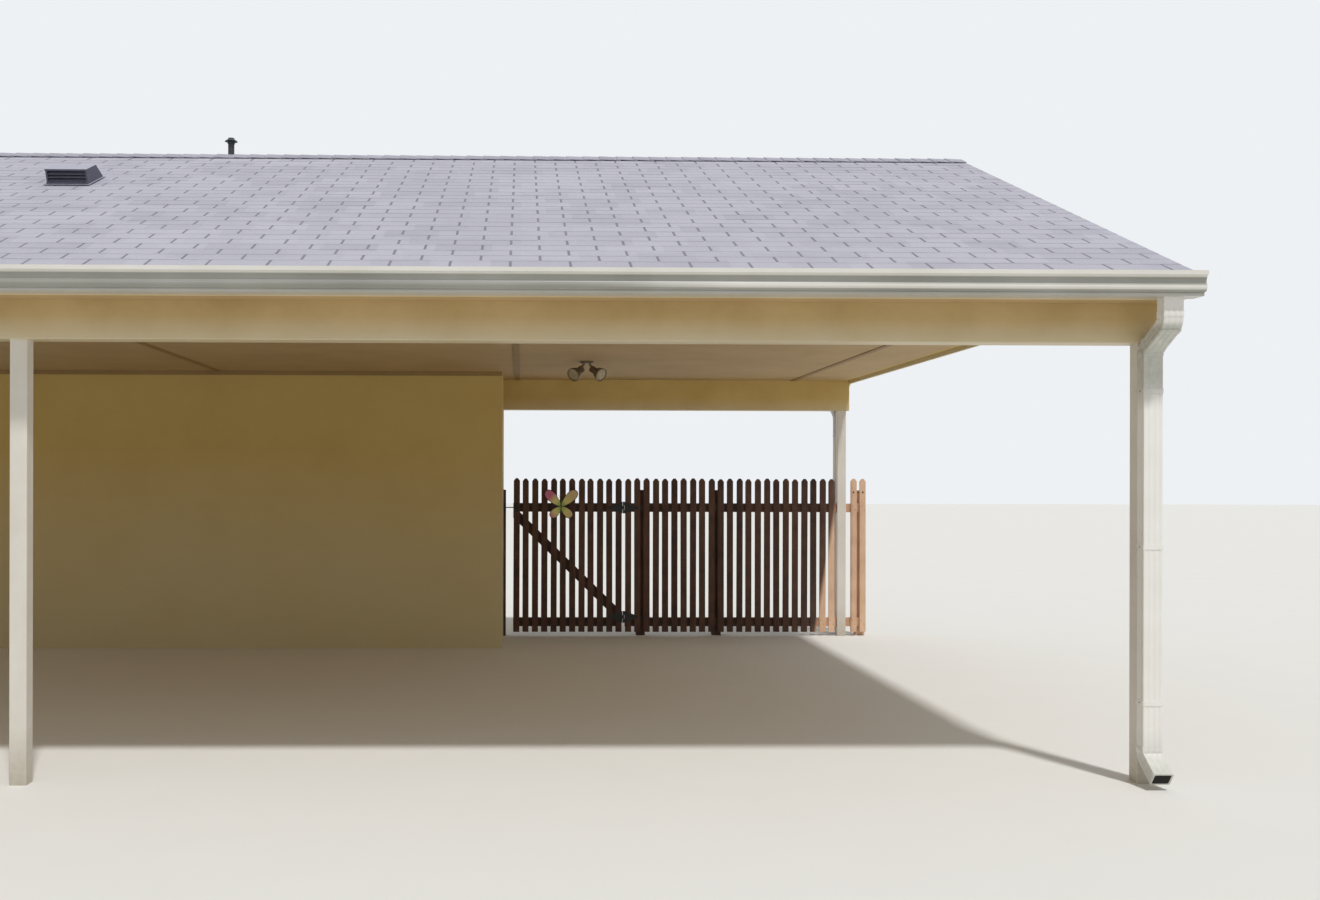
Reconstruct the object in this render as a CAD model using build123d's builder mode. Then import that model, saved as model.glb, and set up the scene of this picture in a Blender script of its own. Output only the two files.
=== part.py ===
from build123d import *
import os

# A carport of two parking bays under one gable roof. A storage block stands between the bays
# at the back, and a picket fence with a gate closes the rest of the back of each bay.
# Sizes are in millimetres. +X runs along the eaves, -Y is the front and +Z is up.
# The origin is on the ground under the middle of the ridge. The right and the left bay are
# mirror images, and so are the front and the rear eaves.

# Posts
bay_width = 5870  # between post centres, along the front
row_depth = 6320  # between the front and the rear row of posts
post_size = 89
post_edge_radius = 5

# Beams
beam_underside = 2305
beam_height = 305
beam_width = 140
beam_end = 70  # past the centre of the end post
beam_edge_radius = 6

# Ceiling and soffits
ceiling_thickness = 13
strip_width = 50
strip_thickness = 6
strip_spacing = 2807  # the first is this far from the left gable wall
soffit_drop = 100  # the soffit lies below the ceiling
soffit_thickness = 10

# Roof
roof_pitch = 5 / 12
roof_thickness = 30  # deck and shingles, measured plumb
roof_drip = 17  # past the fascia
rake_drip = 22  # past the rake board
fascia_reach = 248  # from the post row to the outer face of the fascia
fascia_height = 127
fascia_thickness = 38
gable_thickness = 70
rake_board_height = 152
rake_board_thickness = 38
ridge_cap_width = 150  # down each slope
ridge_cap_thickness = 8

# Gutters
gutter_height = 122
gutter_base = 108
gutter_width = 152
gutter_wall = 3
gutter_drop = 5  # the rim lies below the top of the fascia
gutter_overrun = 30  # past the rake board
gutter_band = 18  # upright strip at the foot
gutter_step = 8  # from the strip out to the belly
gutter_belly_height = 34
gutter_belly_reach = 17  # from the foot of the belly to its head
gutter_curve = 9  # rise of the belly and of the cove over their chords
gutter_ledge = 9  # under the lip
gutter_lip = 22
gutter_return = 13

# Downspouts
downspout_width = 102
downspout_depth = 76
downspout_gap = 2.5  # between the post and the pipe
downspout_elbow = 55
outlet_gap = 4  # between the fascia and the outlet
outlet_drop = 130
offset_bottom = 34  # the offset ends below the beam
shoe_top = 175
shoe_reach = 130
shoe_rise = 70
mouth_wall = 3
mouth_depth = 60
strap_height = 26
strap_thickness = 2
strap_count = 3
strap_first = 420
strap_spacing = 810

# Storage block
storage_half_length = 2410
storage_depth = 1050  # from its front face to its rear face
storage_wall = 115
door_width = 813
door_height = 2032
door_thickness = 44
door_setback = 20
casing_width = 64
casing_thickness = 18
knob_height = 960
knob_backset = 70
knob_radius = 27
knob_reach = 55

# Picket fence
picket_width = 64
picket_thickness = 16
picket_gap = 31
picket_top = 1610
picket_bottom = 40
picket_ear = 20
picket_ear_height = 28
rail_height = 89
rail_thickness = 38
bottom_rail_middle = 140
top_rail_middle = 1310
fence_post_size = 89
fence_post_top = 1490
hinge_post_place = 165  # from the hinge end of the fence
middle_post_place = 946  # from the hinge end of the fence
latch_post_width = 25
stub_gap = 51  # between the rear post and the first stub picket
stub_pickets = 2

# Gate
gate_pickets = 12
latch_gap = 75
hinge_gap = 33
brace_width = 89

# Strap hinges and latch
hinge_barrel_radius = 8
hinge_pin_radius = 4
hinge_play = 0.5
hinge_height = 120
hinge_length = 148
hinge_tip = 20
hinge_plate = 3
hinge_lift = 54  # of the lower hinge above the middle of its rail
knuckle_gap = 2
plate_setback = 10  # from the hinge axis to the edge of the strap
latch_bar_radius = 5
latch_bar_reach = 18  # over the latch post
latch_bar_stand = 17  # in front of the pickets
latch_plate_width = 36
latch_plate_height = 90
catch_width = 22
latch_play = 6
prong_thickness = 4

# Roof vents
vent_width = 275
vent_length = 325
vent_crown = 200  # length of the flat top, in front of the slanted back
vent_height = 100
vent_place = -438
vent_down_slope = 1130  # from the ridge to the middle of the vent, level
vent_flange = 30  # shows in front of the hood, and half of it on each side
vent_flange_thickness = 3
vent_mouth_depth = 150
vent_rim = 12
pipe_radius = 24
pipe_place = 307
pipe_behind_ridge = 210
pipe_rise = 183  # above the roof at the ridge
pipe_cap_radius = 50
pipe_cap_height = 26
pipe_cap_crown = 16  # radius of its top
flashing_length = 260
flashing_width = 240
flashing_lap = 165  # from the ridge to the upper edge of the flashing

# Flood lights under the ceiling
light_beside_storage = 745
light_before_beam = 2000
light_base_radius = 58
light_base_height = 22
light_head_spread = 130
light_head_drop = 80
light_head_radius = 60
light_head_length = 95
light_arm_radius = 9
light_neck_radius = 30
light_neck_length = 40
light_splay = 0.9  # sideways for each unit forwards
light_dip = 0.7  # down for each unit forwards

# Places that follow from the sizes above
post_row = row_depth / 2
beam_out = post_row + beam_width / 2
beam_in = post_row - beam_width / 2
half_length = bay_width + beam_end
ceiling_underside = beam_underside + beam_height
soffit_underside = ceiling_underside - soffit_drop
fascia_out = post_row + fascia_reach
fascia_in = fascia_out - fascia_thickness
fascia_top = soffit_underside + fascia_height
gable_inner = half_length - gable_thickness
rake_face = half_length + rake_board_thickness
roof_half_length = rake_face + rake_drip
roof_edge = fascia_out + roof_drip
gutter_half_length = rake_face + gutter_overrun
gutter_top = fascia_top - gutter_drop
gutter_bottom = gutter_top - gutter_height
storage_rear = beam_out
storage_front = storage_rear - storage_depth
door_place = storage_half_length / 2
strap_levels = [strap_first + i * strap_spacing for i in range(strap_count)]
picket_pitch = picket_width + picket_gap
picket_back = post_row - rail_thickness / 2
picket_front = picket_back - picket_thickness
gate_start = storage_half_length + latch_post_width + latch_gap
gate_end = gate_start + (gate_pickets - 1) * picket_pitch + picket_width
fence_start = gate_end + hinge_gap
fence_end = bay_width - post_size / 2
stub_start = bay_width + post_size / 2 + stub_gap
stub_end = stub_start + (stub_pickets - 1) * picket_pitch + picket_width
hinge_x = gate_end + hinge_gap / 2
hinge_y = picket_front - hinge_barrel_radius
hinge_levels = (bottom_rail_middle + hinge_lift, top_rail_middle)
latch_level = top_rail_middle
light_place = storage_half_length + light_beside_storage
light_depth = beam_in - light_before_beam


def roof_underside(y):
    """Height of the underside of the roof at a distance y from the ridge line."""
    return fascia_top + (fascia_out - abs(y)) * roof_pitch


def roof_top(y):
    """Height of the top of the shingles at a distance y from the ridge line."""
    return roof_underside(y) + roof_thickness


def save(piece, name):
    """Label a finished piece and write its file."""
    piece.part.label = name
    export_step(piece.part, f"parts/{name}.step")


def twin_of(piece, plane):
    """The twin of a piece on the other side of a plane of symmetry."""
    with BuildPart() as twin:
        add(piece.part)
        mirror(about=plane, mode=Mode.REPLACE)
    return twin


def save_left_and_right(piece, name):
    """Write the right one of two like pieces, and its twin across the party line."""
    save(piece, f"{name}_right")
    save(twin_of(piece, Plane.YZ), f"{name}_left")


def pair_of(piece, plane):
    """A piece together with its twin, as two solids of one node."""
    with BuildPart() as pair:
        add(piece.part)
        mirror(about=plane)
    return pair


def post(name, x, y):
    """A square post with eased edges, from the ground to the beam."""
    with BuildPart() as piece:
        with BuildSketch():
            with Locations((x, y)):
                RectangleRounded(post_size, post_size, post_edge_radius)
        extrude(amount=beam_underside)
    save(piece, name)


def slab(x_range, y_range, z_range):
    """A plain wall or panel between three pairs of limits."""
    with BuildPart() as piece:
        with BuildSketch(Plane.XY.offset(z_range[0])):
            with Locations((sum(x_range) / 2, sum(y_range) / 2)):
                Rectangle(x_range[1] - x_range[0], y_range[1] - y_range[0])
        extrude(amount=z_range[1] - z_range[0])
    return piece


def beam(start, end, y):
    """A wrapped beam from start to end along X, with eased lower edges."""
    with BuildPart() as piece:
        with BuildSketch(Plane.XY.offset(beam_underside)):
            with Locations(((start + end) / 2, y)):
                Rectangle(end - start, beam_width)
        extrude(amount=beam_height)
        lower_edges = piece.edges().filter_by(Axis.X).group_by(Axis.Z)[0]
        fillet(lower_edges, beam_edge_radius)
    return piece


os.makedirs("parts", exist_ok=True)

# Posts: three along the front, two at the back
post("front_post_left", -bay_width, -post_row)
post("front_post_middle", 0, -post_row)
post("front_post_right", bay_width, -post_row)
post("rear_post_left", -bay_width, post_row)
post("rear_post_right", bay_width, post_row)

# Beams: one along the whole front, and one on each side of the storage block
front_beam = beam(-half_length, half_length, -post_row)
save(front_beam, "front_beam")
save_left_and_right(beam(storage_half_length, half_length, post_row), "rear_beam")

# Storage block: four walls up to the ceiling, the rear one with two doorways
front_wall = slab(
    (-storage_half_length, storage_half_length),
    (storage_front, storage_front + storage_wall),
    (0, ceiling_underside),
)
save(front_wall, "storage_front_wall")
side_wall = slab(
    (storage_half_length - storage_wall, storage_half_length),
    (storage_front + storage_wall, storage_rear - storage_wall),
    (0, ceiling_underside),
)
save(pair_of(side_wall, Plane.YZ), "storage_side_walls")

with BuildPart() as rear_wall:
    with BuildSketch(Plane.XZ.offset(-storage_rear)):
        with Locations((0, ceiling_underside / 2)):
            Rectangle(2 * storage_half_length, ceiling_underside)
        with Locations((-door_place, door_height / 2), (door_place, door_height / 2)):
            Rectangle(door_width, door_height, mode=Mode.SUBTRACT)
    extrude(amount=storage_wall)
save(rear_wall, "storage_rear_wall")

with BuildPart() as doors:
    with BuildSketch(Plane.XZ.offset(-(storage_rear - door_setback))):
        with Locations((-door_place, door_height / 2), (door_place, door_height / 2)):
            Rectangle(door_width, door_height)
    extrude(amount=door_thickness)
    knob_x = door_place + door_width / 2 - knob_backset
    knob_face = storage_rear - door_setback
    for radius, start in ((knob_radius / 2, 0), (knob_radius, knob_reach / 2)):
        with BuildSketch(Plane.XZ.offset(-knob_face - start)):
            with Locations((-knob_x, knob_height), (knob_x, knob_height)):
                Circle(radius)
        extrude(amount=-knob_reach / 2)
save(doors, "storage_doors")

with BuildPart() as casings:
    with BuildSketch(Plane.XZ.offset(-storage_rear)):
        casing_height = door_height + casing_width
        with Locations((-door_place, casing_height / 2), (door_place, casing_height / 2)):
            Rectangle(door_width + 2 * casing_width, casing_height)
        with Locations((-door_place, door_height / 2), (door_place, door_height / 2)):
            Rectangle(door_width, door_height, mode=Mode.SUBTRACT)
    extrude(amount=-casing_thickness)
save(casings, "door_casings")

# Ceiling over the bays and the storage block, with strips over its joints
ceiling = slab(
    (-gable_inner, gable_inner),
    (-beam_out, beam_out),
    (ceiling_underside, ceiling_underside + ceiling_thickness),
)
save(ceiling, "ceiling")

with BuildPart() as strips:
    with BuildSketch(Plane.XY.offset(ceiling_underside)):
        strip_count = int((2 * gable_inner - strip_width) // strip_spacing)
        for i in range(strip_count):
            strip_x = (i + 1) * strip_spacing - gable_inner
            beside_storage = abs(strip_x) > storage_half_length + strip_width
            strip_rear = beam_in if beside_storage else storage_front
            with Locations((strip_x, (strip_rear - beam_in) / 2)):
                Rectangle(strip_width, strip_rear + beam_in)
    extrude(amount=-strip_thickness)
save(strips, "ceiling_strips")

# Boxed eaves: a soffit and a fascia, front and rear
soffit = slab(
    (-gable_inner, gable_inner),
    (-fascia_in, -beam_out),
    (soffit_underside, soffit_underside + soffit_thickness),
)
save(pair_of(soffit, Plane.XZ), "soffits")

with BuildPart() as fascia:
    with BuildSketch(Plane.YZ):
        Polygon(
            (-fascia_out, soffit_underside),
            (-fascia_in, soffit_underside),
            (-fascia_in, roof_underside(fascia_in)),
            (-fascia_out, fascia_top),
            align=None,
        )
    extrude(amount=half_length, both=True)
save(pair_of(fascia, Plane.XZ), "fascias")

# Gable walls, with returns that close the ends of the boxed eaves
with BuildPart() as gable_wall:
    with BuildSketch(Plane.YZ.offset(gable_inner)):
        Polygon(
            (-fascia_in, soffit_underside),
            (-beam_out, soffit_underside),
            (-beam_out, ceiling_underside),
            (beam_out, ceiling_underside),
            (beam_out, soffit_underside),
            (fascia_in, soffit_underside),
            (fascia_in, roof_underside(fascia_in)),
            (0, roof_underside(0)),
            (-fascia_in, roof_underside(fascia_in)),
            align=None,
        )
    extrude(amount=gable_thickness)
save_left_and_right(gable_wall, "gable_wall")

# Rake boards: two at each end that meet under the ridge, with level cuts at the eaves
with BuildPart() as rake_board:
    level_cut = fascia_out - (rake_board_height - fascia_height) / roof_pitch
    with BuildSketch(Plane.YZ.offset(half_length)):
        Polygon(
            (-fascia_out, soffit_underside),
            (-level_cut, soffit_underside),
            (0, roof_underside(0) - rake_board_height),
            (0, roof_underside(0)),
            (-fascia_out, fascia_top),
            align=None,
        )
    extrude(amount=rake_board_thickness)
save_left_and_right(rake_board, "front_rake_board")
save_left_and_right(twin_of(rake_board, Plane.XZ), "rear_rake_board")

# Roof slopes and the ridge cap
with BuildPart() as roof_slope:
    with BuildSketch(Plane.YZ):
        Polygon(
            (-roof_edge, roof_underside(roof_edge)),
            (0, roof_underside(0)),
            (0, roof_top(0)),
            (-roof_edge, roof_top(roof_edge)),
            align=None,
        )
    extrude(amount=roof_half_length, both=True)
save(roof_slope, "roof_front")
save(twin_of(roof_slope, Plane.XZ), "roof_rear")

with BuildPart() as ridge_cap:
    with BuildSketch(Plane.YZ):
        Polygon(
            (-ridge_cap_width, roof_top(ridge_cap_width)),
            (0, roof_top(0)),
            (ridge_cap_width, roof_top(ridge_cap_width)),
            (ridge_cap_width, roof_top(ridge_cap_width) + ridge_cap_thickness),
            (0, roof_top(0) + ridge_cap_thickness),
            (-ridge_cap_width, roof_top(ridge_cap_width) + ridge_cap_thickness),
            align=None,
        )
    extrude(amount=roof_half_length, both=True)
save(ridge_cap, "ridge_cap")


# Gutters: an ogee trough with closed ends
with BuildPart() as gutter:
    base = -fascia_out - gutter_base
    rim = -fascia_out - gutter_width
    belly_foot = (base - gutter_step, gutter_bottom + gutter_band)
    belly_head = (belly_foot[0] - gutter_belly_reach, belly_foot[1] + gutter_belly_height)
    cove_head = (rim + gutter_ledge, gutter_top - gutter_lip)
    foot_line = [
        (-fascia_out, gutter_top),
        (-fascia_out, gutter_bottom),
        (base, gutter_bottom),
        (base, gutter_bottom + gutter_band),
        belly_foot,
    ]
    lip_line = [cove_head, (rim, gutter_top - gutter_lip), (rim, gutter_top)]
    with BuildSketch(Plane.YZ):
        with BuildLine():
            Polyline(*foot_line)
            SagittaArc(belly_foot, belly_head, gutter_curve)
            SagittaArc(belly_head, cove_head, -gutter_curve)
            Polyline(*lip_line, (rim + gutter_return, gutter_top))
            offset(amount=gutter_wall, side=Side.LEFT)
        make_face()
    extrude(amount=gutter_half_length, both=True)
    for end in (-gutter_half_length, gutter_half_length - gutter_wall):
        with BuildSketch(Plane.YZ.offset(end)):
            with BuildLine():
                Polyline(*foot_line)
                SagittaArc(belly_foot, belly_head, gutter_curve)
                SagittaArc(belly_head, cove_head, -gutter_curve)
                Polyline(*lip_line, (-fascia_out, gutter_top))
            make_face()
        extrude(amount=gutter_wall)
save(gutter, "front_gutter")
save(twin_of(gutter, Plane.XZ), "rear_gutter")

# Downspouts: out of the gutter, back under the eave, down the post and out at the foot
with BuildPart() as downspout:
    outlet_y = fascia_out + outlet_gap + downspout_depth / 2
    pipe_y = post_row + post_size / 2 + downspout_gap + downspout_depth / 2
    with BuildLine(Plane.YZ.offset(bay_width)) as route:
        FilletPolyline(
            (-outlet_y, gutter_bottom),
            (-outlet_y, gutter_bottom - outlet_drop),
            (-pipe_y, beam_underside - offset_bottom),
            (-pipe_y, shoe_top),
            (-pipe_y - shoe_reach, shoe_rise),
            radius=downspout_elbow,
        )
    with BuildSketch(Plane(origin=route.line @ 0, x_dir=(1, 0, 0), z_dir=route.line % 0)):
        Rectangle(downspout_width, downspout_depth)
    sweep(path=route.line)
    mouth = Plane(origin=route.line @ 1, x_dir=(1, 0, 0), z_dir=route.line % 1)
    with BuildSketch(mouth):
        Rectangle(downspout_width - 2 * mouth_wall, downspout_depth - 2 * mouth_wall)
    extrude(amount=-mouth_depth, mode=Mode.SUBTRACT)
    strap_back = post_row + post_size / 2
    strap_front = pipe_y + downspout_depth / 2 + strap_thickness
    for level in strap_levels:
        with BuildSketch(Plane.XY.offset(level)):
            with Locations((bay_width, -(strap_back + strap_front) / 2)):
                Rectangle(downspout_width + 2 * strap_thickness, strap_front - strap_back)
        extrude(amount=strap_height)
save_left_and_right(downspout, "front_downspout")
save_left_and_right(twin_of(downspout, Plane.XZ), "rear_downspout")

# Picket fence: dog-eared pickets nailed to two rails, in front of square posts
picket_outline = [
    (-picket_width / 2, picket_bottom),
    (picket_width / 2, picket_bottom),
    (picket_width / 2, picket_top - picket_ear_height),
    (picket_width / 2 - picket_ear, picket_top),
    (picket_ear - picket_width / 2, picket_top),
    (-picket_width / 2, picket_top - picket_ear_height),
]


def picket_panel(start, end, first_picket, count):
    """Two rails between start and end, with a row of pickets on their front."""
    with BuildPart() as panel:
        with BuildSketch(Plane.XZ.offset(-picket_back)):
            middle = (start + end) / 2
            with Locations((middle, bottom_rail_middle), (middle, top_rail_middle)):
                Rectangle(end - start, rail_height)
        extrude(amount=-rail_thickness)
        with BuildSketch(Plane.XZ.offset(-picket_back)):
            first_middle = first_picket + picket_width / 2
            with Locations([(first_middle + i * picket_pitch, 0) for i in range(count)]):
                Polygon(*picket_outline, align=None)
        extrude(amount=picket_thickness)
    return panel


fence_picket_count = int((fence_end - fence_start - picket_width) // picket_pitch) + 1
fence_panel = picket_panel(fence_start, fence_end, fence_start, fence_picket_count)
stub_panel = picket_panel(bay_width + post_size / 2, stub_end, stub_start, stub_pickets)
with BuildPart() as fence:
    add(fence_panel.part)
    add(stub_panel.part)
save_left_and_right(fence, "fence")

with BuildPart() as fence_posts:
    with BuildSketch():
        post_middle_y = picket_back + rail_thickness + fence_post_size / 2
        with Locations(
            (fence_start + hinge_post_place, post_middle_y),
            (fence_start + middle_post_place, post_middle_y),
            (stub_end - fence_post_size / 2, post_middle_y),
        ):
            Rectangle(fence_post_size, fence_post_size)
        latch_post_middle = storage_half_length + latch_post_width / 2
        with Locations((latch_post_middle, picket_front + fence_post_size / 2)):
            Rectangle(latch_post_width, fence_post_size)
    extrude(amount=fence_post_top)
save_left_and_right(fence_posts, "fence_posts")

# Gate leaf: a picket panel with a brace that rises from the lower hinge
gate_panel = picket_panel(gate_start, gate_end, gate_start, gate_pickets)
with BuildPart() as gate_leaf:
    add(gate_panel.part)
    with BuildSketch(Plane.XZ.offset(-picket_back)):
        gate_length = gate_end - gate_start
        brace_rise = top_rail_middle - bottom_rail_middle - rail_height
        brace_angle = -Vector(gate_length, brace_rise, 0).get_angle(Vector(1, 0, 0))
        with Locations(((gate_start + gate_end) / 2, (top_rail_middle + bottom_rail_middle) / 2)):
            Rectangle(2 * gate_length, brace_width, rotation=brace_angle)
            Rectangle(gate_length, brace_rise, mode=Mode.INTERSECT)
    extrude(amount=-rail_thickness)
save_left_and_right(gate_leaf, "gate_leaf")

# Strap hinges: each strap tapers from the barrel to a narrow tip
knuckle_height = (hinge_height - 2 * knuckle_gap) / 3


def strap(side, level, knuckle_middles):
    """One half of a hinge at a level, on the given side of its axis, bored for the pin."""
    edge = hinge_x + side * plate_setback
    tip = hinge_x + side * hinge_length
    with BuildPart() as half:
        with BuildSketch(Plane.XZ.offset(-picket_front)):
            Polygon(
                (edge, level - hinge_height / 2),
                (tip, level - hinge_tip / 2),
                (tip, level + hinge_tip / 2),
                (edge, level + hinge_height / 2),
                align=None,
            )
            with Locations([((edge + hinge_x) / 2, level + z) for z in knuckle_middles]):
                Rectangle(plate_setback, knuckle_height)
        extrude(amount=hinge_plate)
        for z in knuckle_middles:
            with BuildSketch(Plane.XY.offset(level + z - knuckle_height / 2)):
                with Locations((hinge_x, hinge_y)):
                    Circle(hinge_barrel_radius)
            extrude(amount=knuckle_height)
        with BuildSketch(Plane.XY.offset(level - hinge_height / 2)):
            with Locations((hinge_x, hinge_y)):
                Circle(hinge_pin_radius + hinge_play)
        extrude(amount=hinge_height, mode=Mode.SUBTRACT)
    return half.part


gate_straps = [strap(-1, level, [0]) for level in hinge_levels]
with BuildPart() as gate_ironwork:
    add(gate_straps)
    bar_y = picket_front - latch_bar_stand
    bar_start = storage_half_length + latch_post_width - latch_bar_reach
    bar_end = gate_start + picket_width
    with BuildSketch(Plane.XZ.offset(-picket_front)):
        with Locations((gate_start + picket_width / 2, latch_level)):
            Rectangle(latch_plate_width, latch_plate_height)
    extrude(amount=hinge_plate)
    with BuildSketch(Plane.XZ.offset(-picket_front)):
        with Locations((gate_start + picket_width / 2, latch_level)):
            Rectangle(latch_plate_width / 2, 2 * latch_bar_radius)
    extrude(amount=latch_bar_stand)
    with BuildSketch(Plane.YZ.offset(bar_start)):
        with Locations((bar_y, latch_level)):
            Circle(latch_bar_radius)
    extrude(amount=bar_end - bar_start)
save_left_and_right(gate_ironwork, "gate_ironwork")

outer_knuckle = knuckle_height + knuckle_gap
fence_straps = [strap(1, level, [-outer_knuckle, outer_knuckle]) for level in hinge_levels]
with BuildPart() as fence_ironwork:
    add(fence_straps)
    for level in hinge_levels:
        with BuildSketch(Plane.XY.offset(level - hinge_height / 2)):
            with Locations((hinge_x, hinge_y)):
                Circle(hinge_pin_radius)
        extrude(amount=hinge_height)
        for z in (-outer_knuckle, outer_knuckle):
            with BuildSketch(Plane.XY.offset(level + z - knuckle_height / 2)):
                with Locations((hinge_x, hinge_y)):
                    Circle(hinge_barrel_radius)
            extrude(amount=knuckle_height)
    catch_middle = storage_half_length + latch_post_width / 2
    with BuildSketch(Plane.XZ.offset(-picket_front)):
        with Locations((catch_middle, latch_level)):
            Rectangle(catch_width, latch_plate_height)
    extrude(amount=hinge_plate)
    prong_middle = latch_bar_radius + latch_play + prong_thickness / 2
    with BuildSketch(Plane.XZ.offset(-picket_front)):
        with Locations((catch_middle, latch_level - prong_middle),
                       (catch_middle, latch_level + prong_middle)):
            Rectangle(catch_width, prong_thickness)
    extrude(amount=latch_bar_stand + 2 * latch_bar_radius)
save_left_and_right(fence_ironwork, "fence_ironwork")

# Box vent on the front slope: a hood with a slanted back on a flat flange, and with its
# mouth down the slope
vent_plane = Plane(
    origin=(vent_place, -vent_down_slope, roof_top(vent_down_slope)),
    x_dir=(1, 0, 0),
    z_dir=(0, -roof_pitch, 1),
)
with BuildPart() as roof_vent:
    with BuildSketch(vent_plane):
        with Locations((0, -vent_flange / 2)):
            Rectangle(vent_width + vent_flange, vent_length + vent_flange)
    extrude(amount=vent_flange_thickness)
    hood_side = Plane(
        origin=vent_plane.from_local_coords((-vent_width / 2, -vent_length / 2, 0)),
        x_dir=vent_plane.y_dir,
        z_dir=vent_plane.x_dir,
    )
    with BuildSketch(hood_side):
        Polygon(
            (0, 0),
            (vent_length, 0),
            (vent_crown, vent_height),
            (0, vent_height),
            align=None,
        )
    extrude(amount=vent_width)
    mouth_front = Plane(
        origin=vent_plane.from_local_coords((0, -vent_length / 2, vent_height / 2)),
        x_dir=(1, 0, 0),
        z_dir=vent_plane.y_dir,
    )
    with BuildSketch(mouth_front):
        Rectangle(vent_width - 2 * vent_rim, vent_height - 2 * vent_rim)
    extrude(amount=vent_mouth_depth, mode=Mode.SUBTRACT)
save(roof_vent, "roof_vent")

# Vent pipe behind the ridge, with a square flashing on the rear slope and a pointed cap
rear_slope = Plane(
    origin=(pipe_place, pipe_behind_ridge, roof_top(pipe_behind_ridge)),
    x_dir=(1, 0, 0),
    z_dir=(0, roof_pitch, 1),
)
with BuildPart() as vent_pipe:
    pipe_top = roof_top(0) + pipe_rise
    pipe_foot = roof_top(pipe_behind_ridge + pipe_radius) - pipe_radius
    with BuildSketch(Plane.XY.offset(pipe_foot)):
        with Locations((pipe_place, pipe_behind_ridge)):
            Circle(pipe_radius)
    extrude(amount=pipe_top - pipe_foot)
    with Locations((pipe_place, pipe_behind_ridge, pipe_top - pipe_cap_height / 2)):
        Cone(pipe_cap_radius, pipe_cap_crown, pipe_cap_height)
    split(bisect_by=rear_slope, keep=Keep.TOP)
    with BuildSketch(rear_slope):
        with Locations((0, flashing_lap - pipe_behind_ridge + flashing_length / 2)):
            Rectangle(flashing_width, flashing_length)
    extrude(amount=vent_flange_thickness)
save(vent_pipe, "vent_pipe")

# Flood lights: a round base under the ceiling, and two heads on short arms, tilted apart
with BuildPart() as flood_light:
    with BuildSketch(Plane.XY.offset(ceiling_underside)):
        with Locations((light_place, light_depth)):
            Circle(light_base_radius)
    extrude(amount=-light_base_height)
    for side in (-1, 1):
        with BuildLine() as arm_line:
            Line(
                (light_place, light_depth, ceiling_underside - light_base_height / 2),
                (light_place + side * light_head_spread / 2, light_depth,
                 ceiling_underside - light_head_drop),
            )
        with BuildSketch(Plane(arm_line.line @ 0, z_dir=arm_line.line % 0)):
            RegularPolygon(light_arm_radius, 8)
        sweep(path=arm_line.line)
        head_plane = Plane(
            origin=(light_place + side * light_head_spread / 2, light_depth,
                    ceiling_underside - light_head_drop),
            z_dir=(side * light_splay, -1, -light_dip),
        )
        with BuildSketch(Plane(head_plane.origin, head_plane.x_dir, head_plane.y_dir)):
            Polygon(
                (0, light_neck_length),
                (light_neck_radius, light_neck_length),
                (light_neck_radius, 0),
                (light_head_radius, -light_head_length),
                (0, -light_head_length),
                align=None,
            )
        revolve(axis=Axis(head_plane.origin, head_plane.z_dir))
save(pair_of(flood_light, Plane.YZ), "flood_lights")
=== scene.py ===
import math
import random

import bmesh
import bpy
from mathutils import Matrix, Vector


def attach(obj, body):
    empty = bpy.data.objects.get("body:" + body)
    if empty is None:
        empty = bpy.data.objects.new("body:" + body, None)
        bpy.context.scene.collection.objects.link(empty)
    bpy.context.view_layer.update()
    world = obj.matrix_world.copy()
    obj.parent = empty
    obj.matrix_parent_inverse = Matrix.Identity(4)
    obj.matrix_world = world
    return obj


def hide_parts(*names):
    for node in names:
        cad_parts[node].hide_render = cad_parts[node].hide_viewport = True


# The looks of a two-bay carport: asphalt shingles, ogee gutters, painted posts and beams, a
# painted storage block and a stained picket fence with gates. Everything is in metres.
# +X runs along the eaves, -Y is the front and +Z is up.

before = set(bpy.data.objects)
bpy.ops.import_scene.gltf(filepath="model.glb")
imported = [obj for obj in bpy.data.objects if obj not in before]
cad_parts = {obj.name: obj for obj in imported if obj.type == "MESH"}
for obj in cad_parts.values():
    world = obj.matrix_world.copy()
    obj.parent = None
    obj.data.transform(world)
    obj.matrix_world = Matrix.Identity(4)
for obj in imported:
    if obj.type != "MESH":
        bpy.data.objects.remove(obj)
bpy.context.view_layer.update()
draw = random.Random(5)

# Sizes of the frame that the added pieces are set out from
bay_width = 5.87
post_row = 3.16
post_half = 0.0445
beam_underside = 2.305
half_length = 5.94
ceiling_underside = 2.61
fascia_out = 3.408
fascia_top = 2.637
roof_edge = 3.425
roof_half_length = 6.0
gutter_bottom = 2.51
gutter_top = 2.632
storage_half_length = 2.41
storage_front = 2.18
picket_front = 3.125
picket_back = 3.141
rail_back = 3.179
picket_pitch = 0.095
picket_width = 0.064
picket_bottom = 0.04
picket_top = 1.61
gate_start = 2.51
gate_end = 3.619
fence_start = 3.652
fence_end = 5.8255
stub_start = 5.9655
stub_end = 6.1245
rail_middles = (0.14, 1.31)
rail_height = 0.089
fence_post_top = 1.49
hinge_place = 3.6355
hinge_levels = (0.194, 1.31)
ornament_spot = (2.998, 3.108, 1.322)

# Slanting edge of the sunlight on the fence: its distance from the middle of the building at
# the ground, and how far out it leans for each metre of height
sun_edge_foot = 5.587
sun_edge_lean = 0.16

# The roof rises 5 in 12, so its slope, run and rise are as 13, 12 and 5
slope_run = 12 / 13
slope_rise = 5 / 13
roof_plumb = 0.03


def roof_top(y):
    """Height of the top of the shingles at a distance y from the ridge line."""
    return fascia_top + (fascia_out - abs(y)) * 5 / 12 + roof_plumb


# Shapes


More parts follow.
